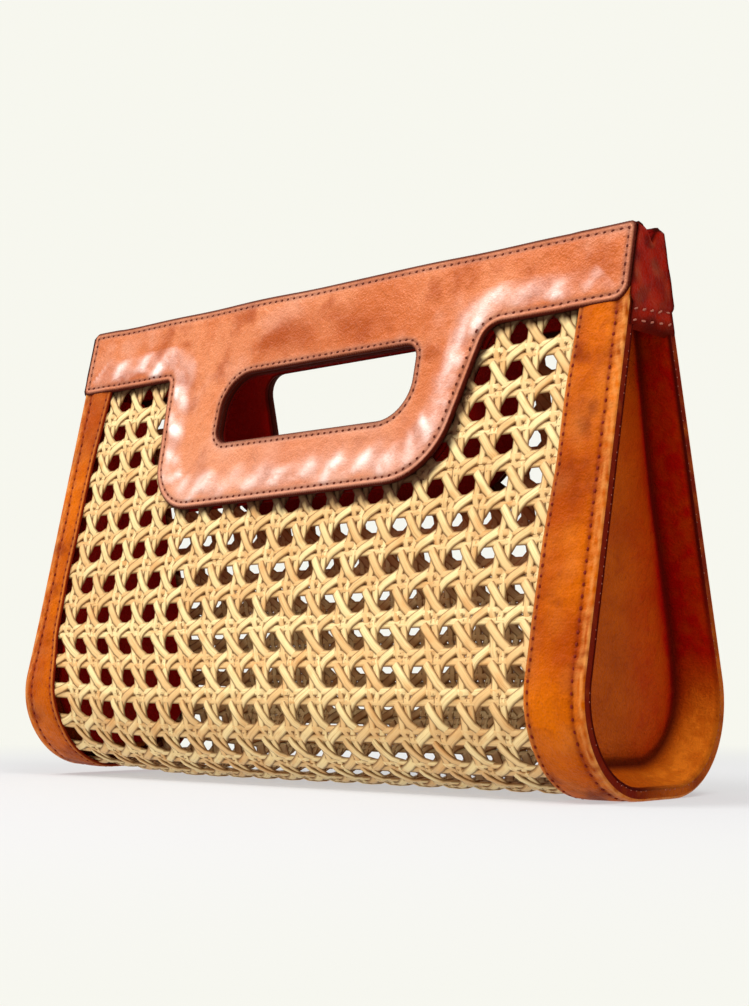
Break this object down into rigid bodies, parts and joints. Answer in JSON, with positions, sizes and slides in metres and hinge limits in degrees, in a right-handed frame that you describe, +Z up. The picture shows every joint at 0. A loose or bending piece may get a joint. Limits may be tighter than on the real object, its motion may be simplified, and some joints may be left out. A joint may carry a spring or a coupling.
{
  "type": "cane webbing handbag",
  "caption": "Stiff wedge-shaped handbag of woven cane webbing with leather yokes, a cut-out hand hole, leather end borders and recessed leather ends",
  "frame": {"origin": "the middle of the bag's foot on the floor", "axes": "X along the width, Y through the depth with the front facing -Y, Z up"},
  "size_m": [0.27, 0.081, 0.183],
  "materials": {
    "cane": "natural cane strands, satin",
    "border_leather": "waxed vegetable-tanned leather, semi-gloss",
    "gusset_leather": "waxed vegetable-tanned leather, semi-gloss",
    "yoke_leather": "waxed vegetable-tanned leather, semi-gloss",
    "stiffener_board": "bonded leather board, burnished edge",
    "lining_leather": "thin leather, matt"
  },
  "bodies": {
    "root": {"cane_webbing": "cane", "right_edge_border": "border_leather", "left_edge_border": "border_leather", "right_gusset": "gusset_leather", "left_gusset": "gusset_leather", "right_top_tab": "gusset_leather", "left_top_tab": "gusset_leather", "front_yoke": "yoke_leather", "back_yoke": "yoke_leather", "front_yoke_stiffener": "stiffener_board", "back_yoke_stiffener": "stiffener_board", "front_yoke_lining": "lining_leather", "back_yoke_lining": "lining_leather"}
  },
  "joints": []
}
